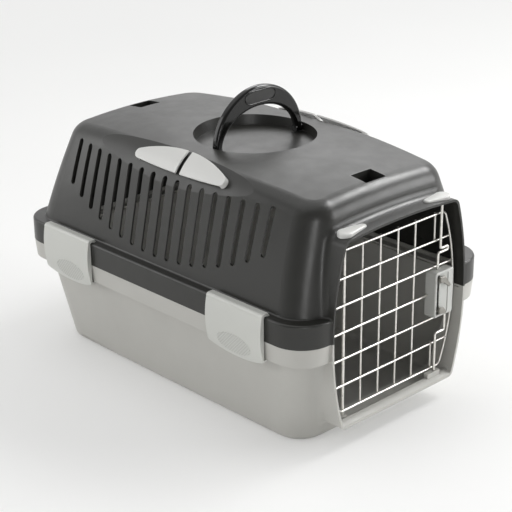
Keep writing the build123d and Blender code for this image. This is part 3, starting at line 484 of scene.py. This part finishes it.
class CARRIER_OT_clips(bpy.types.Operator):
    """Finish the four clips that hold the shells together, with their thumb grips"""
    bl_idname = "carrier.clips"
    bl_label = "Finish clips"

    def execute(self, context):
        trim = context.scene.carrier_trim
        grips = context.scene.carrier_grips
        plastic = fine_plastic("clip_plastic", trim.clip_colour, roughness=0.36)
        lattice = lattice_plastic("clip_grip", trim.clip_colour, grips.lattice_pitch, grips.lattice_depth)
        finish_nodes(plastic, ["clip_" + side for side in SIDES])
        outside_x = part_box("clip_front_left")[0][0] - GRIP_START
        places = {}
        for end in ENDS:
            middle_y = clip_middle_y("clip_" + end + "_left") + GRIP_SHIFT[end]
            places[end] = Vector((outside_x, middle_y, grips.middle_z))
        front = flat_grip(grips, places["front"])
        front.name = "grip_front_left"
        front.data.materials.append(lattice)
        rear = copied(front, "grip_rear_left")
        rear.location = places["rear"] - places["front"]
        bpy.ops.object.transform_apply(location=True, rotation=True, scale=True)
        for end, pad in zip(ENDS, (front, rear)):
            lay_on_clip(pad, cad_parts["clip_" + end + "_left"], grips, places[end])
            twin = mirrored_grip(pad, "grip_" + end + "_right")
            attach(pad, "clip_" + end + "_left")
            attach(twin, "clip_" + end + "_right")
        return {"FINISHED"}


def inlay_bead(end, radius, plastic):
    """The raised bead round one of the handle's grip inlays."""
    low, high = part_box("handle_inlay_" + end)
    face_y = low[1] if end == "front" else high[1]
    deselect()
    bpy.ops.curve.primitive_bezier_circle_add(radius=1, location=(0, 0, 0))
    bead = bpy.context.object
    bead.name = "inlay_bead_" + end
    bpy.ops.object.mode_set(mode="EDIT")
    bpy.ops.curve.select_all(action="SELECT")
    bpy.ops.transform.resize(
        value=((high[0] - low[0]) / 2, (high[2] - low[2]) / 2, 1), center_override=(0, 0, 0))
    bpy.ops.object.mode_set(mode="OBJECT")
    bead.data.dimensions = "3D"
    bead.data.resolution_u = 24
    bead.data.bevel_depth = radius
    bead.data.bevel_resolution = 3
    bpy.ops.object.convert(target="MESH")
    bead = bpy.context.object
    bead.rotation_euler = (math.pi / 2, 0, 0)
    bead.location = ((low[0] + high[0]) / 2, face_y, (low[2] + high[2]) / 2)
    bpy.ops.object.transform_apply(location=True, rotation=True, scale=True)
    bpy.ops.object.shade_smooth()
    bead.data.materials.clear()
    bead.data.materials.append(plastic)
    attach(bead, "handle")


class CARRIER_OT_handle(bpy.types.Operator):
    """Finish the folding handle and its grip inlays"""
    bl_idname = "carrier.handle"
    bl_label = "Finish handle"

    def execute(self, context):
        handle = context.scene.carrier_handle
        black = gloss_plastic("handle_plastic", handle.handle_colour, roughness=0.1)
        matt = moulded_plastic("handle_inlay", handle.inlay_colour, roughness=0.4,
                               grain_size=0.0006, grain_depth=0.00005, cloud=0.1)
        finish_nodes(black, ["handle"])
        finish_nodes(matt, ["handle_inlay_front", "handle_inlay_rear"])
        for end in ENDS:
            inlay_bead(end, handle.bead_radius, black)
        return {"FINISHED"}


class CARRIER_OT_door(bpy.types.Operator):
    """Finish the welded wires of the door and its hinge rod"""
    bl_idname = "carrier.door"
    bl_label = "Finish door"

    def execute(self, context):
        door = context.scene.carrier_door
        wire = plated_wire("door_wire", door.wire_colour, roughness=0.32)
        finish_nodes(wire, ["door_grille", "door_uprights", "hinge_rod", "upper_bolt", "lower_bolt"])
        return {"FINISHED"}


# Points of the spring's mesh that lie closer than this are one point
MERGE_DISTANCE = 0.000001


def squeezed_spring(steel):
    """The latch's spring as a piece of its own, with its points merged, carried with the door."""
    spring = bpy.data.objects.new("latch_coil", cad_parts["latch_spring"].data.copy())
    bpy.context.scene.collection.objects.link(spring)
    select_only(spring)
    bpy.ops.object.mode_set(mode="EDIT")
    bpy.ops.mesh.select_all(action="SELECT")
    bpy.ops.mesh.remove_doubles(threshold=MERGE_DISTANCE)
    bpy.ops.object.mode_set(mode="OBJECT")
    spring.data.materials.clear()
    spring.data.materials.append(steel)
    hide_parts("latch_spring")
    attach(spring, "door")
    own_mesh(spring)


class CARRIER_OT_latch(bpy.types.Operator):
    """Finish the squeeze latch"""
    bl_idname = "carrier.latch"
    bl_label = "Finish latch"

    def execute(self, context):
        door = context.scene.carrier_door
        plastic = fine_plastic("latch_plastic", door.latch_colour, roughness=0.33)
        tabs = plated_wire("tab_steel", door.tab_colour, roughness=0.3)
        spring = plated_wire("spring_steel", shade(door.wire_colour, 0.7), roughness=0.3)
        finish_nodes(plastic, ["latch_housing", "latch_back"])
        finish_nodes(tabs, ["upper_tab", "lower_tab"])
        squeezed_spring(spring)
        return {"FINISHED"}


# What every lamp points at, and the share of plain white in the floor near and far from the carrier
LAMP_TARGET = (0.0, 0.0, 0.15)
WHITE_NEAR, WHITE_FAR = 0.25, 1.0
FADE_START, FADE_STOP = 0.3, 4.5
# The direction in which the studio is bright, and how bright it is there and opposite
BRIGHT_SIDE = (0.4, 0.92, 0.0)
DIM_LEVEL, BRIGHT_LEVEL = 0.4, 1.15
DIM_UP_TO, BRIGHT_FROM = -0.35, 0.4


def softbox(name, place, width, height, level, mirrored=True, lit=True):
    """A rectangular lamp, turned to the carrier, whose face has the given brightness.

    One that isn't mirrored leaves no gloss, and one that isn't lit leaves only gloss, as a white card does.
    """
    lamp = bpy.data.lights.new(name, "AREA")
    lamp.shape = "RECTANGLE"
    lamp.size = width
    lamp.size_y = height
    lamp.energy = level * math.pi * width * height
    holder = bpy.data.objects.new(name, lamp)
    holder.location = place
    holder.rotation_euler = look_at(place, LAMP_TARGET)
    holder.visible_glossy = mirrored
    holder.visible_camera = False
    holder.visible_diffuse = lit
    bpy.context.scene.collection.objects.link(holder)


def pale_floor(size):
    """A white paper floor that keeps the carrier's soft shadow."""
    deselect()
    bpy.ops.mesh.primitive_grid_add(x_subdivisions=4, y_subdivisions=4, size=size, location=(0, 0, 0))
    floor = bpy.context.object
    floor.name = "studio_floor"
    material, tree, shader = new_material("floor_paper")
    clouds = noise(tree, object_coordinates(tree), size=0.8, detail=2)
    tint = blended(tree, ranged(tree, clouds, 0, 1), tone(241, 241, 240), tone(245, 245, 244))
    tree.links.new(tint, shader.inputs["Base Color"])
    shader.inputs["Roughness"].default_value = 0.9
    shader.inputs["Specular IOR Level"].default_value = 0.0
    # By the carrier a part of the paper shows as plain white and the rest keeps the shadow.
    # Further off it fades to plain white, as a studio sweep does.
    white = tree.nodes.new("ShaderNodeEmission")
    white.inputs["Color"].default_value = (*tone(250, 250, 249), 1)
    path = tree.nodes.new("ShaderNodeLightPath")
    seen = path.outputs["Is Camera Ray"]
    for kind in ("Is Glossy Ray", "Is Transmission Ray"):
        seen = combined(tree, "MAXIMUM", seen, path.outputs[kind])
    distance = tree.nodes.new("ShaderNodeVectorMath")
    distance.operation = "LENGTH"
    tree.links.new(object_coordinates(tree), distance.inputs[0])
    fade = ranged(tree, distance.outputs["Value"], WHITE_NEAR, WHITE_FAR, start=FADE_START, stop=FADE_STOP)
    mix = tree.nodes.new("ShaderNodeMixShader")
    tree.links.new(combined(tree, "MULTIPLY", seen, fade), mix.inputs["Fac"])
    tree.links.new(shader.outputs["BSDF"], mix.inputs[1])
    tree.links.new(white.outputs["Emission"], mix.inputs[2])
    output = next(node for node in tree.nodes if node.type == "OUTPUT_MATERIAL")
    tree.links.new(mix.outputs["Shader"], output.inputs["Surface"])
    floor.data.materials.append(material)


def studio_world():
    """A pale studio: a bright backdrop behind the carrier, dimmer towards the camera."""
    world = bpy.data.worlds.new("studio_world")
    world.use_nodes = True
    tree = world.node_tree
    tree.nodes.clear()
    output = tree.nodes.new("ShaderNodeOutputWorld")
    sky = tree.nodes.new("ShaderNodeBackground")
    direction = tree.nodes.new("ShaderNodeTexCoord")
    behind = tree.nodes.new("ShaderNodeVectorMath")
    behind.operation = "DOT_PRODUCT"
    behind.inputs[1].default_value = BRIGHT_SIDE
    tree.links.new(direction.outputs["Generated"], behind.inputs[0])
    level = ranged(tree, behind.outputs["Value"], DIM_LEVEL, BRIGHT_LEVEL,
                   start=DIM_UP_TO, stop=BRIGHT_FROM)
    tree.links.new(level, sky.inputs["Strength"])
    tree.links.new(sky.outputs["Background"], output.inputs["Surface"])
    bpy.context.scene.world = world


class CARRIER_OT_studio(bpy.types.Operator):
    """Set the pale floor, the soft lamps and the camera"""
    bl_idname = "carrier.studio"
    bl_label = "Set studio"

    def execute(self, context):
        studio = context.scene.carrier_studio
        pale_floor(studio.floor_size)
        studio_world()
        softbox("key_lamp", (1.59, -0.45, 1.85), width=0.9, height=0.9, level=7.5)
        softbox("top_lamp", (-0.3, 0.2, 2.3), width=1.8, height=1.8, level=0.6)
        softbox("left_lamp", (-2.1, 0.8, 0.9), width=1.6, height=1.4, level=1.75, mirrored=False)
        softbox("low_fill", (-0.7, -2.4, 0.5), width=1.2, height=0.8, level=1.7, mirrored=False)
        softbox("front_lamp", (1.9, -1.75, 0.9), width=1.4, height=1.2, level=6.4)
        softbox("key_sheen", (1.59, -0.34, 1.88), width=0.7, height=0.7, level=12.0, lit=False)
        softbox("edge_sheen", (-1.26, -1.87, 0.68), width=0.3, height=0.9, level=9.0, lit=False)
        softbox("roof_sheen", (1.75, 1.25, 1.6), width=1.6, height=1.2, level=1.7, lit=False)
        softbox("side_sheen", (-1.45, 1.9, 1.0), width=1.2, height=1.6, level=2.0, lit=False)
        camera = bpy.data.cameras.new("camera")
        camera.sensor_width = 36
        camera.sensor_fit = "HORIZONTAL"
        camera.lens = studio.lens
        camera.clip_end = 100
        holder = bpy.data.objects.new("camera", camera)
        holder.location = studio.camera_place
        holder.rotation_euler = look_at(studio.camera_place, studio.camera_target, studio.roll)
        context.scene.collection.objects.link(holder)
        context.scene.camera = holder
        context.scene.view_settings.view_transform = "Standard"
        return {"FINISHED"}


STEPS = (
    CARRIER_OT_shells,
    CARRIER_OT_trim,
    CARRIER_OT_clips,
    CARRIER_OT_handle,
    CARRIER_OT_door,
    CARRIER_OT_latch,
    CARRIER_OT_studio,
)


SETTINGS = {
    "carrier_shells": ShellSettings,
    "carrier_trim": TrimSettings,
    "carrier_grips": GripSettings,
    "carrier_handle": HandleSettings,
    "carrier_door": DoorSettings,
    "carrier_studio": StudioSettings,
}


class CARRIER_PT_panel(bpy.types.Panel):
    """Lists the steps that finish the carrier"""
    bl_label = "Pet carrier"
    bl_idname = "CARRIER_PT_panel"
    bl_space_type = "VIEW_3D"
    bl_region_type = "UI"
    bl_category = "Carrier"

    def draw(self, context):
        for step in STEPS:
            self.layout.operator(step.bl_idname)
        for group in SETTINGS:
            box = self.layout.box()
            for setting in SETTINGS[group].__annotations__:
                box.prop(getattr(context.scene, group), setting)


def register():
    for name, group in SETTINGS.items():
        bpy.utils.register_class(group)
        setattr(bpy.types.Scene, name, bpy.props.PointerProperty(type=group))
    for step in STEPS:
        bpy.utils.register_class(step)
    bpy.utils.register_class(CARRIER_PT_panel)


def unregister():
    bpy.utils.unregister_class(CARRIER_PT_panel)
    for step in reversed(STEPS):
        bpy.utils.unregister_class(step)
    for name, group in SETTINGS.items():
        delattr(bpy.types.Scene, name)
        bpy.utils.unregister_class(group)


def main():
    """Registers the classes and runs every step."""
    register()
    bpy.ops.carrier.shells()
    bpy.ops.carrier.trim()
    bpy.ops.carrier.clips()
    bpy.ops.carrier.handle()
    bpy.ops.carrier.door()
    bpy.ops.carrier.latch()
    bpy.ops.carrier.studio()


if __name__ == "__main__":
    main()
